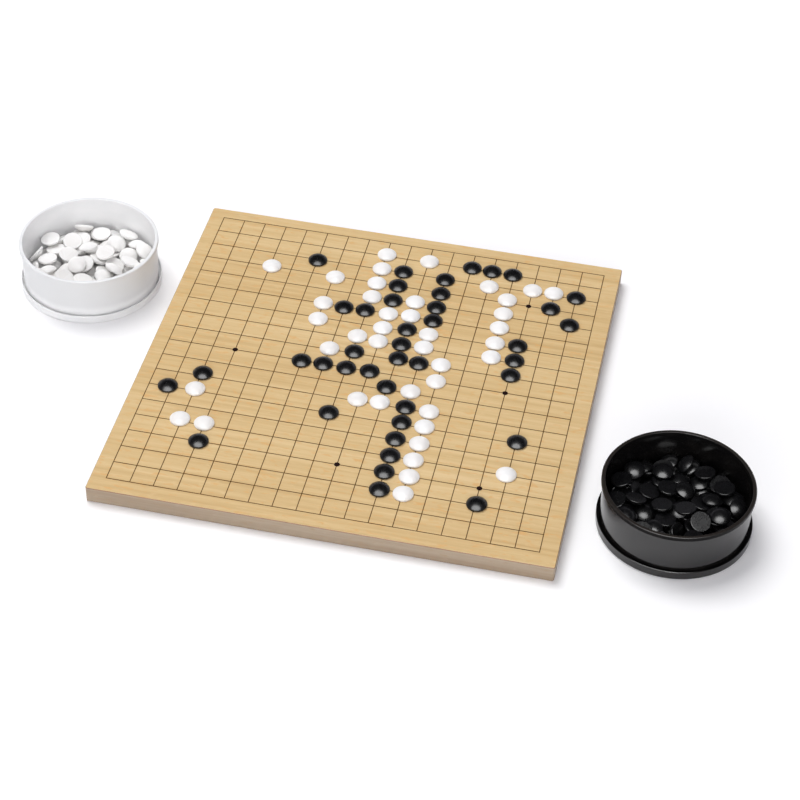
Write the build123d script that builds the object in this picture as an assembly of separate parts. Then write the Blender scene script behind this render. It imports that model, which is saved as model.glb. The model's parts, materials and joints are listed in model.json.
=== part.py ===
from build123d import *

import math
import os

import numpy as np

# A go set on a table: a veneered wooden board with a game under way, and two round bowls of
# stones, each standing in its own upturned lid. Millimetres, +Z up. The origin is the middle of
# the board's underside, +X runs to the right along the rows and +Y away from the player.

# Stones: flat below, domed above
stone_diameter = 20.8
stone_height = 6.8
stone_edge = 2.0
stone_rounding = 0.7
stone_gap = 3.2

# Board
line_count = 19
board_thickness = 18.0
margin_side = 17.0
margin_ends = 16.5
grid_shift_right = -0.9
grid_shift_back = 1.3
veneer_thickness = 0.8
edge_band_thickness = 1.2
board_corner_radius = 2.2
board_edge_easing = 0.5

# Printed pattern
line_width = 0.9
star_diameter = 5.9
star_spacing = 6
ink_pass = 0.05

# Bowls and the lids that they stand in
bowl_radius = 73.2
bowl_height = 53.4
bowl_wall = 1.9
bowl_floor = 2.0
bowl_foot_rounding = 2.5
rim_overhang = 1.95
rim_height = 4.6
rim_top_rounding = 1.3
rim_underside_rounding = 0.5
mouth_rounding = 0.8
lid_play = 0.3
lid_wall = 1.2
lid_floor = 1.6
lid_height = 9.6
lid_foot_rounding = 1.4
lid_lip_rounding = 0.5

# Places of the bowls beside the board
bowl_to_board = 25.2
white_bowl_back = 99.0
black_bowl_front = 126.9

# Loose stones: as many as fill each bowl to its level
white_loose_count = 95
black_loose_count = 120
bowl_clearance = 0.55
stone_clearance = 0.12

# Sizes worked out from those above
pitch = stone_diameter + stone_gap
grid_span = (line_count - 1) * pitch
board_width = grid_span + 2 * margin_side
board_depth = grid_span + 2 * margin_ends
core_height = board_thickness - 2 * veneer_thickness
playing_height = board_thickness + 3 * ink_pass
rim_radius = bowl_radius + rim_overhang
lid_radius = rim_radius + lid_play + lid_wall
bowl_inner_radius = bowl_radius - bowl_wall
bowl_offset = board_width / 2 + bowl_to_board + lid_radius

# The game as it stands, seen from above with the back row first: X black, O white
game = """
...................
........O.O.XXX....
.....X..OX.X.O.OOX.
...O..O.OX.X..O.X..
........OXOX..O..X.
......OXXOOX..O....
......O..OXO..OX...
........OOXO..OX...
.......OX.XXO..X...
......XXXX..O......
..........XO.......
..X......OOXO......
.XO.....X..XO...X..
...........XO......
..OO.......XO...O..
...X.......XO......
...........XO..X...
...................
...................
""".split()

# Stones that stand off their points, as (column, row): (right, back) in quarters of the gap
nudges = {
    (8, 1): (1, 1), (10, 1): (1, 0), (12, 1): (1, 1), (13, 1): (-1, 0), (14, 1): (-2, -1),
    (5, 2): (1, -3), (8, 2): (1, -1), (9, 2): (1, 0), (11, 2): (0, -3), (13, 2): (1, -4),
    (15, 2): (0, 2), (16, 2): (-1, 3), (17, 2): (0, 1), (3, 3): (3, -1), (6, 3): (3, -4),
    (8, 3): (1, -3), (9, 3): (0, -1), (11, 3): (0, -4), (14, 3): (0, 4), (8, 4): (1, -3),
    (9, 4): (0, -3), (11, 4): (0, -4), (14, 4): (0, 4), (17, 4): (0, 2), (6, 5): (0, -1),
    (7, 5): (-1, -3), (8, 5): (-2, -2), (9, 5): (0, -3), (11, 5): (1, -2), (14, 5): (0, 4),
    (6, 6): (1, -5), (9, 6): (-1, -3), (10, 6): (1, 2), (11, 6): (1, -2), (14, 6): (0, 2),
    (15, 6): (0, 4), (8, 7): (0, 3), (9, 7): (-1, -1), (10, 7): (0, 1), (11, 7): (0, 1),
    (14, 7): (0, 3), (15, 7): (1, 4), (8, 8): (3, 2), (10, 8): (2, 2), (11, 8): (0, -1),
    (12, 8): (-1, 2), (15, 8): (1, 4), (6, 9): (0, -2), (7, 9): (-1, -1), (8, 9): (0, -2),
    (9, 9): (1, -1), (12, 9): (-1, -1), (10, 10): (-1, 4), (11, 10): (1, 2), (2, 11): (2, 4),
    (9, 11): (-2, 2), (10, 11): (-3, 3), (11, 11): (1, 2), (12, 11): (2, 0), (1, 12): (-5, 0),
    (2, 12): (1, 2), (8, 12): (-2, -1), (11, 12): (2, 3), (12, 12): (2, 1), (16, 12): (1, 1),
    (11, 13): (1, 1), (12, 13): (2, -1), (2, 14): (-2, 3), (3, 14): (0, 2), (11, 14): (1, 0),
    (12, 14): (1, -2), (16, 14): (-2, 0), (3, 15): (2, -1), (12, 15): (2, -2), (11, 16): (1, -2),
    (12, 16): (1, -3), (15, 16): (2, 1),
}
nudge_unit = stone_gap / 4


def stone():
    """One stone, resting on its flat side with the middle of that side at the origin."""
    radius = stone_diameter / 2
    profile = Polyline((0, stone_height), (0, 0), (radius, 0), (radius, stone_edge))
    dome_rise = stone_height - stone_edge
    dome_radius = (radius**2 + dome_rise**2) / (2 * dome_rise)
    dome_middle = stone_height - dome_radius
    half_way = math.radians(90) - math.asin(radius / dome_radius) / 2
    halfway_point = (dome_radius * math.cos(half_way), dome_middle + dome_radius * math.sin(half_way))
    dome = ThreePointArc((radius, stone_edge), halfway_point, (0, stone_height))
    half = make_face(Plane.XZ * (profile + dome))
    body = revolve(half, Axis.Z)
    rims = body.edges().filter_by(GeomType.CIRCLE).filter_by(lambda edge: edge.radius > 0.9 * radius)
    return fillet(rims, stone_rounding)


def point_place(column, row):
    """Where two lines cross on the board, as X and Y."""
    x = grid_shift_right + (column - (line_count - 1) / 2) * pitch
    y = grid_shift_back + ((line_count - 1) / 2 - row) * pitch
    return x, y


def stone_place(column, row):
    """Where a played stone really lies: near its point, put down by hand."""
    x, y = point_place(column, row)
    right, back = nudges.get((column, row), (0, 0))
    return x + right * nudge_unit, y + back * nudge_unit


def chains(mark):
    """The stones of one colour, grouped where they are joined along the lines."""
    left = [(column, row) for row in range(len(game)) for column in range(len(game[row]))
            if game[row][column] == mark]
    found = []
    while left:
        chain = [left.pop(0)]
        for column, row in chain:
            beside = [(column + 1, row), (column - 1, row), (column, row + 1), (column, row - 1)]
            joined = [place for place in beside if place in left]
            chain += joined
            left = [place for place in left if place not in joined]
        found.append(chain)
    return found


def point_name(column, row):
    """The usual name of a point: a letter for the column, without i, and the row's number."""
    letters = "abcdefghjklmnopqrstuvwxyz"
    return f"{letters[column]}{line_count - row}"


def played_stones():
    """Every chain on the board as a named group of stones."""
    pieces = {}
    for colour, mark in (("black", "X"), ("white", "O")):
        for chain in chains(mark):
            places = [stone_place(column, row) for column, row in chain]
            stones = [Pos(x, y, playing_height) * stone_solid for x, y in places]
            pieces[f"{colour}_chain_{point_name(*chain[0])}"] = stones
    return pieces


def board_blank():
    """The whole board as one block with rounded corners and eased edges."""
    outline = RectangleRounded(board_width, board_depth, board_corner_radius)
    block = extrude(outline, board_thickness)
    flat_faces = block.faces().filter_by(Axis.Z)
    return chamfer(flat_faces.edges(), board_edge_easing)


def slab(width, depth, height, x=0, y=0, z=0):
    """A block that stands on height z with its middle at x, y."""
    return Pos(x, y, z + height / 2) * Box(width, depth, height)


def printed_grid():
    """The ink on the board's face, in three passes: column lines, row lines over them, and star
    points on top."""
    middle = Pos(grid_shift_right, grid_shift_back, board_thickness)
    length = grid_span + line_width
    column_line = slab(line_width, length, ink_pass)
    row_line = slab(length, line_width, ink_pass, z=ink_pass)
    star = Pos(0, 0, 2 * ink_pass) * extrude(Circle(star_diameter / 2), ink_pass)
    stars = GridLocations(star_spacing * pitch, star_spacing * pitch, 3, 3)
    return {
        "column_lines": [middle * place * column_line for place in GridLocations(pitch, 1, line_count, 1)],
        "row_lines": [middle * place * row_line for place in GridLocations(1, pitch, 1, line_count)],
        "star_points": [middle * place * star for place in stars],
    }


def board_pieces():
    """Core, face veneers and edge bands."""
    blank = board_blank()
    inner_width = board_width - 2 * edge_band_thickness
    inner_depth = board_depth - 2 * edge_band_thickness
    side = (board_width - edge_band_thickness) / 2
    end = (board_depth - edge_band_thickness) / 2
    low = veneer_thickness
    high = board_thickness - veneer_thickness
    end_band = slab(board_width, edge_band_thickness, core_height, z=low)
    side_band = slab(edge_band_thickness, inner_depth, core_height, z=low)
    face = slab(board_width, board_depth, veneer_thickness)
    return {
        "board_core": slab(inner_width, inner_depth, core_height, z=low),
        "bottom_veneer": blank & face,
        "top_veneer": blank & Pos(0, 0, high) * face,
        "front_edge_band": blank & Pos(0, -end, 0) * end_band,
        "back_edge_band": blank & Pos(0, end, 0) * end_band,
        "left_edge_band": blank & Pos(-side, 0, 0) * side_band,
        "right_edge_band": blank & Pos(side, 0, 0) * side_band,
    }


def bowl():
    """A round bowl with straight sides and a thicker rim, standing on Z = 0."""
    body = extrude(Circle(bowl_radius), bowl_height)
    foot = body.edges().sort_by(Axis.Z)[0]
    body = fillet(foot, bowl_foot_rounding)
    rim = Pos(0, 0, bowl_height - rim_height) * extrude(Circle(rim_radius), rim_height)
    rim = fillet(rim.edges().sort_by(Axis.Z)[-1], rim_top_rounding)
    body = body + fillet(rim.edges().sort_by(Axis.Z)[0], rim_underside_rounding)
    inside = Pos(0, 0, bowl_floor) * extrude(Circle(bowl_inner_radius), bowl_height)
    body = body - inside
    mouth = [edge for edge in body.edges().filter_by(GeomType.CIRCLE).group_by(Axis.Z)[-1]
             if edge.radius < bowl_inner_radius + mouth_rounding]
    return fillet(mouth, mouth_rounding)


def lid():
    """The bowl's lid turned over: a shallow round tray, standing on Z = 0."""
    body = extrude(Circle(lid_radius), lid_height)
    body = fillet(body.edges().sort_by(Axis.Z)[0], lid_foot_rounding)
    body = body - Pos(0, 0, lid_floor) * extrude(Circle(lid_radius - lid_wall), lid_height)
    return fillet(body.edges().group_by(Axis.Z)[-1], lid_lip_rounding)


def stone_skin(spacing):
    """Points spread evenly over a stone, on its flat side and on its dome, from its middle."""
    radius = stone_diameter / 2
    dome_rise = stone_height - stone_edge
    dome_radius = (radius**2 + dome_rise**2) / (2 * dome_rise)
    rings = []
    for distance in np.linspace(0, radius, math.ceil(radius / spacing) + 1):
        count = max(1, math.ceil(2 * math.pi * distance / spacing))
        turn = 2 * math.pi * np.arange(count) / count
        x, y = distance * np.cos(turn), distance * np.sin(turn)
        dome_height = stone_height - dome_radius + math.sqrt(dome_radius**2 - distance**2)
        rings += [np.column_stack([x, y, np.full(count, height)]) for height in (0, dome_height)]
    return np.vstack(rings)


def turned(points, up):
    """Points of a stone that lies flat, turned so that its dome faces along up."""
    x, y, z = up
    level = math.hypot(x, z)
    across = (z / level, 0, -x / level)
    along = (-x * y / level, level, -y * z / level)
    return points @ np.array([across, along, up])


def heap(stone_count, seed):
    """Drops stones one by one into a bowl, with its floor at Z = 0, and says how each one lies.

    The heap is remembered as its height over a fine square grid. A falling stone is tried in
    many places and leans near its first ones, and it stays where its weight lies lowest."""
    cell = 0.5
    first_places, later_places = 24, 90
    first_lean, later_lean, later_shift = 0.5, 0.4, 0.25 * stone_diameter
    balance_height = 0.36 * stone_height
    reach = bowl_inner_radius - bowl_clearance
    chance = np.random.default_rng(seed)
    heights = np.zeros([math.ceil(2 * bowl_inner_radius / cell) + 1] * 2)
    coarse, fine = stone_skin(0.15 * stone_diameter / 2), stone_skin(0.9 * cell)

    def cells(points):
        return tuple(((points[:, :2] + bowl_inner_radius) / cell).astype(int).T)

    def laid(skin, place, up):
        return turned(skin, up) + (*place, 0)

    def landing(points):
        return np.max(heights[cells(points)] - points[:, 2])

    resting = []
    for number in range(stone_count):
        lowest = math.inf
        tries = int(chance.integers(later_places // 9, later_places))
        for attempt in range(first_places + tries):
            if attempt < first_places or lowest == math.inf:
                turn, far = 2 * math.pi * chance.random(), reach * math.sqrt(chance.random())
                place = far * np.array([math.cos(turn), math.sin(turn)])
                up = np.append(chance.normal(0, first_lean, 2), 1 - 2 * (number % 2))
            else:
                calm = 1 - (attempt - first_places) / tries
                place = best_place + chance.normal(0, later_shift * calm, 2)
                up = best_up + chance.normal(0, later_lean * calm, 3)
            up = up / np.linalg.norm(up)
            points = laid(coarse, place, up)
            if np.hypot(points[:, 0], points[:, 1]).max() > reach:
                continue
            weight_height = landing(points) + balance_height * up[2]
            if weight_height < lowest:
                lowest, best_place, best_up = weight_height, place, up
        points = laid(fine, best_place, best_up)
        height = landing(points) + stone_clearance
        np.maximum.at(heights, cells(points), points[:, 2] + height)
        resting.append(((*best_place, height), best_up))
    return resting


def loose_stone_groups(colour, middle, stone_count, seed):
    """The stones in one bowl, in three groups from the bottom of the heap up."""
    pieces = {}
    resting = heap(stone_count, seed)
    levels = ("lower", "middle", "upper")
    share = math.ceil(len(resting) / len(levels))
    inside = Pos(*middle, lid_floor + bowl_floor)
    for level, name in enumerate(levels):
        group = resting[level * share:(level + 1) * share]
        lying = [Plane(tuple(map(float, place)), z_dir=tuple(map(float, up))) for place, up in group]
        pieces[f"{colour}_loose_stones_{name}"] = [inside * plane.location * stone_solid for plane in lying]
    return pieces


stone_solid = stone()
parts = board_pieces() | printed_grid() | played_stones()
white_middle = (-bowl_offset, white_bowl_back)
black_middle = (bowl_offset, -black_bowl_front)
for colour, middle, loose_count, seed in (("white", white_middle, white_loose_count, 54),
                                          ("black", black_middle, black_loose_count, 8)):
    parts[f"{colour}_lid"] = Pos(*middle, 0) * lid()
    parts[f"{colour}_bowl"] = Pos(*middle, lid_floor) * bowl()
    parts |= loose_stone_groups(colour, middle, loose_count, seed)

os.makedirs("parts", exist_ok=True)
for name, piece in parts.items():
    solids = piece if isinstance(piece, list) else [piece]
    whole = solids[0] if len(solids) == 1 else Compound(children=solids)
    export_step(whole, f"parts/{name}.step")
    print(name, len(solids))
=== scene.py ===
import json
import math

import bpy
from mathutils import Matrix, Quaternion, Vector

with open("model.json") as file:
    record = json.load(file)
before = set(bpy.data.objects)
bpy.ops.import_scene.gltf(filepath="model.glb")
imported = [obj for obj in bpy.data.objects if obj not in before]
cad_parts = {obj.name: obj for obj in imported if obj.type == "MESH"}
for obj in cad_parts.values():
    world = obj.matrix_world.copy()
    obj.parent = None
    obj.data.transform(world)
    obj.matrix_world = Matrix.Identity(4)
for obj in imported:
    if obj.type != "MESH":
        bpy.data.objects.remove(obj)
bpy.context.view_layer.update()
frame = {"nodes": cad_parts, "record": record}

# Sizes of the model that the materials and the camera go by, in metres
BOARD_THICKNESS = 0.018
BOWL_RADIUS = 0.0732
LID_HEIGHT = 0.0096
RIM_UNDERSIDE = 0.0504
RIM_BLEND = 0.0004

# Depth of the relief in each surface, in metres
GRAIN_DEPTH = 0.00002
INK_DEPTH = 0.00001
POLISH_DEPTH = 0.0000008
FROST_DEPTH = 0.00001
RIPPLE_DEPTH = 0.00006

# Wood grain: how fine its figure is along the grain as a share of across, and its patches per metre
GRAIN_STRETCH = 0.035
PATCH_ALONG, PATCH_ACROSS = 75, 240

# Colour sockets of the mix node, which come after the ones for numbers and vectors
MIX_FIRST, MIX_SECOND, MIX_RESULT = 6, 7, 2
WHITE = (1, 1, 1, 1)
EVEN_SCATTER = (1, 1, 1)

scene = bpy.context.scene
scene.view_settings.view_transform = "Standard"
nodes = frame["nodes"]


def srgb(red, green, blue):
    """A colour written as it looks on a screen, 0 to 255, as the shader's linear colour."""
    linear = []
    for value in (red, green, blue):
        share = value / 255
        linear.append(share / 12.92 if share <= 0.04045 else ((share + 0.055) / 1.055) ** 2.4)
    return (*linear, 1.0)


class Graph:
    """A node tree while it is being put together."""

    def __init__(self, tree):
        self.tree = tree

    def add(self, kind, inputs=None, **settings):
        made = self.tree.nodes.new(kind)
        for key, value in settings.items():
            setattr(made, key, value)
        for socket, value in (inputs or {}).items():
            self.feed(made.inputs[socket], value)
        return made

    def feed(self, socket, value):
        if isinstance(value, bpy.types.NodeSocket):
            self.tree.links.new(value, socket)
        else:
            socket.default_value = value

    def between(self, value, low, high, to_low=0.0, to_high=1.0):
        """Goes smoothly from one value to the other while the given one goes from low to high."""
        inputs = {"Value": value, "From Min": low, "From Max": high, "To Min": to_low, "To Max": to_high}
        return self.add("ShaderNodeMapRange", inputs, interpolation_type="SMOOTHSTEP").outputs[0]

    def mix(self, share, first, second):
        made = self.add("ShaderNodeMix", data_type="RGBA")
        self.feed(made.inputs["Factor"], share)
        self.feed(made.inputs[MIX_FIRST], first)
        self.feed(made.inputs[MIX_SECOND], second)
        return made.outputs[MIX_RESULT]

    def math(self, operation, first, second=0.0):
        made = self.add("ShaderNodeMath", operation=operation)
        self.feed(made.inputs[0], first)
        self.feed(made.inputs[1], second)
        return made.outputs[0]


class Recipe(Graph):
    """A material while its nodes are being put together."""

    def __init__(self, name):
        self.material = bpy.data.materials.new(name)
        self.material.use_nodes = True
        super().__init__(self.material.node_tree)
        self.shader = self.tree.nodes["Principled BSDF"]
        self.place = self.add("ShaderNodeTexCoord").outputs["Object"]

    def noise(self, scale, detail=3.0, roughness=0.55, distortion=0.0, shift=(0, 0, 0)):
        """Noise whose features are 1 / scale metres long, with a scale for each direction."""
        mapping = {"Vector": self.place, "Scale": scale, "Location": shift}
        inputs = {"Vector": self.add("ShaderNodeMapping", mapping).outputs[0], "Scale": 1.0,
                  "Detail": detail, "Roughness": roughness, "Distortion": distortion}
        return self.add("ShaderNodeTexNoise", inputs).outputs[0]

    def height(self):
        """How high a point is above the table, in metres."""
        return self.add("ShaderNodeSeparateXYZ", {"Vector": self.place}).outputs["Z"]

    def facing_up(self):
        """How much a surface faces up: 1 on top, 0 on a wall."""
        normal = self.add("ShaderNodeNewGeometry").outputs["Normal"]
        return self.add("ShaderNodeSeparateXYZ", {"Vector": normal}).outputs["Z"]

    def distance_from(self, x, y):
        """How far a point is, seen from above, from the upright axis at x, y."""
        apart = self.add("ShaderNodeVectorMath", {0: self.place, 1: (x, y, 0)}, operation="SUBTRACT")
        level = self.add("ShaderNodeVectorMath", {0: apart.outputs[0], 1: (1, 1, 0)}, operation="MULTIPLY")
        return self.add("ShaderNodeVectorMath", {0: level.outputs[0]}, operation="LENGTH").outputs["Value"]

    def bump(self, relief, depth):
        bumped = self.add("ShaderNodeBump", {"Height": relief, "Distance": depth, "Strength": 1.0})
        self.feed(self.shader.inputs["Normal"], bumped.outputs[0])

    def finish(self, colour, roughness, **sockets):
        self.feed(self.shader.inputs["Base Color"], colour)
        self.feed(self.shader.inputs["Roughness"], roughness)
        for name, value in sockets.items():
            self.shader.inputs[name.replace("_", " ")].default_value = value
        return self.material


def wood(name, grain, light, mid, dark, streak, cut_edge=None):
    """Straight-grained veneer, from wide bands down to fine fibres. grain is along_x or along_y, and
    cut_edge is the colour of whatever doesn't face up."""
    recipe = Recipe(name)

    def figure(fineness, *rest, **more):
        return recipe.noise(tuple(share * fineness for share in grain), *rest, **more)

    bands = figure(26, 2.0, 0.5, 0.3)
    lines = figure(170, 4.0, 0.62, 0.2, shift=(3, 1, 2))
    fine = figure(620, 2.0, 0.5, shift=(1, 5, 3))
    tone = recipe.math("ADD", recipe.math("MULTIPLY", bands, 0.35), recipe.math("MULTIPLY", lines, 0.65))
    colour = recipe.mix(recipe.between(tone, 0.3, 0.54), dark, mid)
    colour = recipe.mix(recipe.between(tone, 0.48, 0.7), colour, light)
    patch_scale = tuple(PATCH_ALONG if share < 1 else PATCH_ACROSS for share in grain)
    warm = recipe.noise(patch_scale, 3.0, 0.6, 0.5, shift=(7, 4, 6))
    colour = recipe.mix(recipe.between(warm, 0.54, 0.72, 0.0, 0.75), colour, streak)
    cool = recipe.noise(patch_scale, 3.0, 0.6, 0.5, shift=(2, 9, 1))
    colour = recipe.mix(recipe.between(cool, 0.56, 0.74, 0.0, 0.5), colour, light)
    colour = recipe.mix(recipe.between(fine, 0.56, 0.72, 0.0, 0.22), colour, dark)
    if cut_edge:
        wall = recipe.between(recipe.facing_up(), 0.75, 0.9, 1.0, 0.0)
        colour = recipe.mix(wall, colour, cut_edge)
    recipe.bump(recipe.math("ADD", lines, fine), GRAIN_DEPTH)
    return recipe.finish(colour, recipe.between(fine, 0.3, 0.7, 0.36, 0.5))


along_x = (GRAIN_STRETCH, 1, 1)
along_y = (1, GRAIN_STRETCH, 1)
honey = srgb(225, 197, 148)
tan = srgb(216, 186, 134)
umber = srgb(204, 170, 117)
amber = srgb(220, 172, 108)
face_wood = wood("face_wood", along_x, honey, tan, umber, amber, cut_edge=srgb(140, 104, 70))
# The edge bands are the face wood made darker and greyer. That darkening is painted shade for the board's
# sides, which get less light than the top.
edge_colours_painted_shade = (srgb(176, 158, 136), srgb(168, 150, 128), srgb(158, 137, 114), srgb(166, 141, 112))
painted_shade_edge_wood_x = wood("edge_wood_painted_shade_along_x", along_x, *edge_colours_painted_shade)
painted_shade_edge_wood_y = wood("edge_wood_painted_shade_along_y", along_y, *edge_colours_painted_shade)
core_wood = wood("core_wood", along_x, srgb(190, 158, 118), srgb(176, 142, 100), srgb(150, 116, 78),
                 srgb(166, 128, 84))


def ink(name, deep, thin):
    """Printed ink, a little uneven where the grain shows through."""
    recipe = Recipe(name)
    patches = recipe.noise((240, 240, 240), 3.0)
    grain = recipe.noise((12, 700, 700), 3.0)
    share = recipe.math("MULTIPLY", recipe.between(patches, 0.4, 0.7), recipe.between(grain, 0.4, 0.7))
    colour = recipe.mix(share, deep, thin)
    recipe.bump(grain, INK_DEPTH)
    return recipe.finish(colour, recipe.between(patches, 0.3, 0.7, 0.45, 0.62), Specular_IOR_Level=0.15)


def stone_finish(name, deep, pale, low_gloss, high_gloss, **sockets):
    """Polished stone: each one a shade of its own, with faint clouds and tiny pits."""
    recipe = Recipe(name)
    own = recipe.add("ShaderNodeNewGeometry").outputs["Random Per Island"]
    clouds = recipe.noise((90, 90, 90), 4.0, 0.6)
    pits = recipe.noise((2600, 2600, 2600), 2.0, 0.5)
    scuffs = recipe.noise((300, 190, 250), 2.0, 0.5, shift=(2, 3, 4))
    share = recipe.math("ADD", recipe.math("MULTIPLY", own, 0.5), recipe.math("MULTIPLY", clouds, 0.5))
    colour = recipe.mix(recipe.between(share, 0.1, 0.8), deep, pale)
    recipe.bump(recipe.math("ADD", pits, recipe.math("MULTIPLY", scuffs, 0.6)), POLISH_DEPTH)
    return recipe.finish(colour, recipe.between(scuffs, 0.42, 0.7, low_gloss, high_gloss), **sockets)


def box_middle(name):
    """The middle of a piece's box, as X and Y."""
    corners = nodes[name].bound_box
    return [sum(corner[axis] for corner in corners) / len(corners) for axis in (0, 1)]


def frosted_white():
    """Frosted white plastic with faint scratches. The bowl's outer wall is painted a little greyer as
    painted shade.
    """
    recipe = Recipe("white_plastic")
    frost = recipe.noise((1500, 1500, 1500), 3.0, 0.6)
    haze = recipe.noise((30, 30, 60), 3.0, 0.5)
    scratches = recipe.noise((140, 140, 2400), 3.0, 0.6)
    colour = recipe.mix(recipe.between(haze, 0.35, 0.65), srgb(248, 249, 249), srgb(253, 253, 253))
    far_out = recipe.distance_from(*box_middle("white_bowl"))
    outer = recipe.between(far_out, BOWL_RADIUS - 0.001, BOWL_RADIUS - 0.0005)
    above_lid = recipe.between(recipe.height(), LID_HEIGHT, LID_HEIGHT + 0.012)
    # Painted shade: the outer wall is painted greyer, fading out over the 12 mm above the lid so its
    # lowest part stays as white as the rest
    colour = recipe.mix(recipe.math("MULTIPLY", outer, above_lid), colour, srgb(226, 227, 227))
    colour = recipe.mix(recipe.between(scratches, 0.62, 0.76, 0.0, 0.35), colour, srgb(228, 230, 232))
    # Painted shade: the upward face of the rim is painted a slightly greyer white
    rim = recipe.between(recipe.height(), RIM_UNDERSIDE - RIM_BLEND, RIM_UNDERSIDE)
    painted_rim_top = recipe.math("MULTIPLY", rim, recipe.between(recipe.facing_up(), 0.5, 0.95))
    colour = recipe.mix(painted_rim_top, colour, srgb(236, 237, 238))
    recipe.bump(recipe.math("ADD", frost, scratches), FROST_DEPTH)
    return recipe.finish(colour, recipe.between(haze, 0.3, 0.7, 0.28, 0.42), Subsurface_Weight=0.4,
                         Subsurface_Scale=0.004, Subsurface_Radius=EVEN_SCATTER)


def glossy_black():
    """Glossy black plastic with light handling marks. The rim is duller, and its top is painted a lighter
    brownish black as a painted reflection.
    """
    recipe = Recipe("black_plastic")
    ripple = recipe.noise((60, 60, 60), 2.0, 0.5)
    marks = recipe.noise((160, 160, 1900), 4.0, 0.65)
    smears = recipe.noise((45, 45, 45), 4.0, 0.6, shift=(5, 2, 8))
    colour = recipe.mix(recipe.between(smears, 0.4, 0.7), srgb(17, 16, 16), srgb(25, 23, 22))
    rim = recipe.between(recipe.height(), RIM_UNDERSIDE - RIM_BLEND, RIM_UNDERSIDE)
    upward = recipe.facing_up()
    # Painted reflection: the rim's upward face is painted a lighter brownish black
    painted_rim_top = recipe.math("MULTIPLY", rim, recipe.between(upward, 0.35, 0.95))
    colour = recipe.mix(painted_rim_top, colour, srgb(36, 32, 29))
    rim_side = recipe.math("MULTIPLY", rim, recipe.between(upward, 0.2, 0.6, 1.0, 0.0))
    dull = recipe.math("MAXIMUM", rim_side, recipe.math("MULTIPLY", rim, 0.6))
    recipe.feed(recipe.shader.inputs["Specular IOR Level"], recipe.between(dull, 0, 1, 0.5, 0.05))
    recipe.bump(recipe.math("ADD", ripple, recipe.math("MULTIPLY", marks, 0.02)), RIPPLE_DEPTH)
    polish = recipe.between(smears, 0.35, 0.7, 0.1, 0.18)
    roughness = recipe.math("MAXIMUM", polish, recipe.math("MULTIPLY", rim, 0.3))
    return recipe.finish(colour, roughness, IOR=1.65)


finishes = {
    "grid_ink": ink("line_ink", srgb(84, 56, 20), srgb(118, 84, 40)),
    "white_stone": stone_finish("white_stone", srgb(242, 240, 237), srgb(248, 247, 245), 0.34, 0.46,
                                Subsurface_Weight=0.6, Subsurface_Scale=0.004,
                                Subsurface_Radius=EVEN_SCATTER),
    "black_stone": stone_finish("black_stone", srgb(6, 6, 7), srgb(12, 12, 14), 0.27, 0.33),
    "white_plastic": frosted_white(),
    "black_plastic": glossy_black(),
    "face_wood": face_wood,
    "core_board": core_wood,
}
slots = {part["node"]: part["material_slot"] for part in frame["record"]["subparts"]}
star_ink = ink("star_ink", srgb(30, 10, 8), srgb(44, 20, 15))
side_bands = ("left_edge_band", "right_edge_band")
for name, piece in nodes.items():
    material = finishes.get(slots[name])
    # Edge bands get the darker copy of the wood, with painted shade in its colour
    if slots[name] == "edge_wood":
        material = painted_shade_edge_wood_y if name in side_bands else painted_shade_edge_wood_x
    if name == "star_points":
        material = star_ink
    piece.data.materials.clear()
    piece.data.materials.append(material)

# Camera
LOOK_AT = Vector((0.03987, -0.03463, BOARD_THICKNESS))
CAMERA_PLACE = Vector((0.35548, -1.67668, 1.53317))
CAMERA_ROLL = math.radians(1.906)
LENS = 98.94
SENSOR_WIDTH = 36
FAR_LIMIT = 50
camera_data = bpy.data.cameras.new("camera")
camera_data.sensor_width = SENSOR_WIDTH
camera_data.lens = LENS
camera_data.clip_end = FAR_LIMIT
camera = bpy.data.objects.new("camera", camera_data)
scene.collection.objects.link(camera)
camera.location = CAMERA_PLACE
camera.rotation_mode = "QUATERNION"
aim = (LOOK_AT - CAMERA_PLACE).to_track_quat("-Z", "Y")
camera.rotation_quaternion = aim @ Quaternion((0, 0, 1), CAMERA_ROLL)
scene.camera = camera


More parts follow.
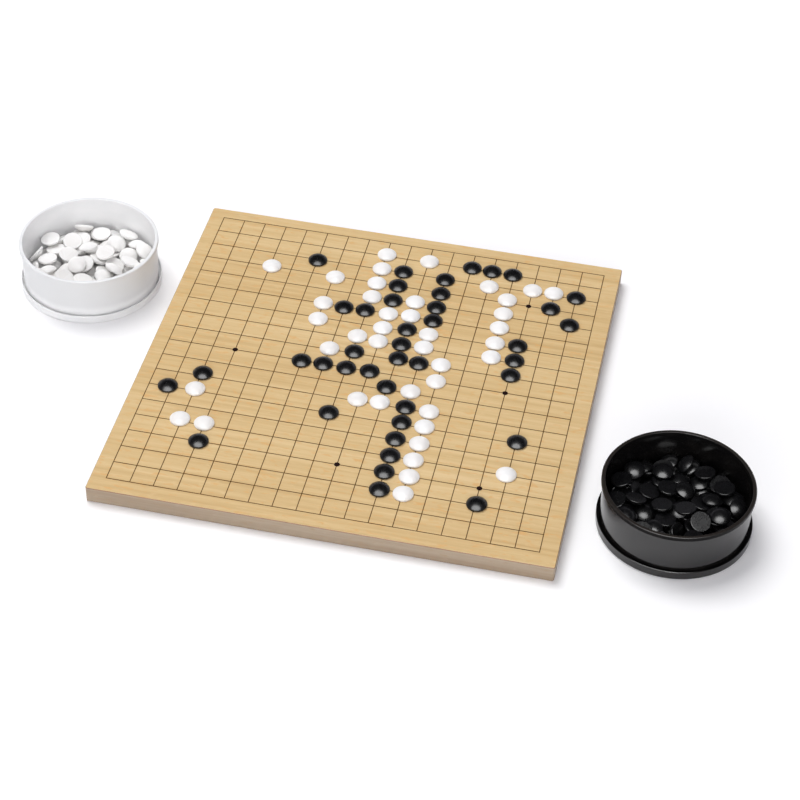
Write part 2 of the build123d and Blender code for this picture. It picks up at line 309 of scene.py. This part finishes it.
def area_light(name, place, width, height, watts, mirrored):
    """A soft lamp that faces the middle of the board. A mirrored one only shows in gloss."""
    data = bpy.data.lights.new(name, "AREA")
    data.shape = "ELLIPSE" if mirrored else "RECTANGLE"
    data.size = width
    data.size_y = height
    data.energy = watts
    lamp = bpy.data.objects.new(name, data)
    scene.collection.objects.link(lamp)
    lamp.location = place
    lamp.rotation_mode = "QUATERNION"
    lamp.rotation_quaternion = (-Vector(place)).to_track_quat("-Z", "Y")
    lamp.visible_glossy = mirrored
    lamp.visible_diffuse = not mirrored


area_light("back_left_softbox", (-1.5, 1.5, 4.5), 3.0, 3.0, 185, False)
area_light("front_fill", (0.15, -2.6, 1.0), 2.4, 1.2, 30, False)
area_light("front_card", (0.1, -1.35, 2.0), 3.2, 2.0, 125, True)

# Surroundings: white to the eye, bright in reflections near the horizon, plain soft light to all else
SOFT_LIGHT = 0.35
HORIZON_GLEAM, OVERHEAD_GLEAM = 0.8, 0.05
world = bpy.data.worlds.new("surroundings")
scene.world = world
world.use_nodes = True
background = world.node_tree.nodes["Background"]
sky = Graph(world.node_tree)
path = sky.add("ShaderNodeLightPath").outputs
direction = sky.add("ShaderNodeTexCoord").outputs["Generated"]
upward = sky.add("ShaderNodeSeparateXYZ", {0: direction}).outputs["Z"]
gleam = sky.between(upward, 0.1, 0.5, HORIZON_GLEAM, OVERHEAD_GLEAM)
mirrored = sky.math("MULTIPLY", path["Is Glossy Ray"], sky.math("SUBTRACT", gleam, SOFT_LIGHT))
seen = sky.math("MAXIMUM", path["Is Camera Ray"], path["Is Transmission Ray"])
strength = sky.math("MAXIMUM", seen, sky.math("ADD", mirrored, SOFT_LIGHT))
sky.feed(background.inputs["Strength"], strength)
sky.feed(background.inputs["Color"], sky.mix(seen, (0.95, 0.93, 1, 1), WHITE))

# Floor: matte white, with a trace of glow that only the camera sees
FLOOR_SIDE = 3.2
FLOOR_DROP = 0.0002
FLOOR_GLOW = 0.05
bpy.ops.mesh.primitive_plane_add(size=FLOOR_SIDE, location=(0, 0, -FLOOR_DROP))
floor = bpy.context.object
floor.name = "floor"
matte = Recipe("floor_white")
to_camera = matte.add("ShaderNodeLightPath").outputs["Is Camera Ray"]
matte.feed(matte.shader.inputs["Emission Strength"], matte.math("MULTIPLY", to_camera, FLOOR_GLOW))
floor.data.materials.append(matte.finish((0.98, 0.98, 0.985, 1), 0.9, Specular_IOR_Level=0.0,
                                         Emission_Color=WHITE))
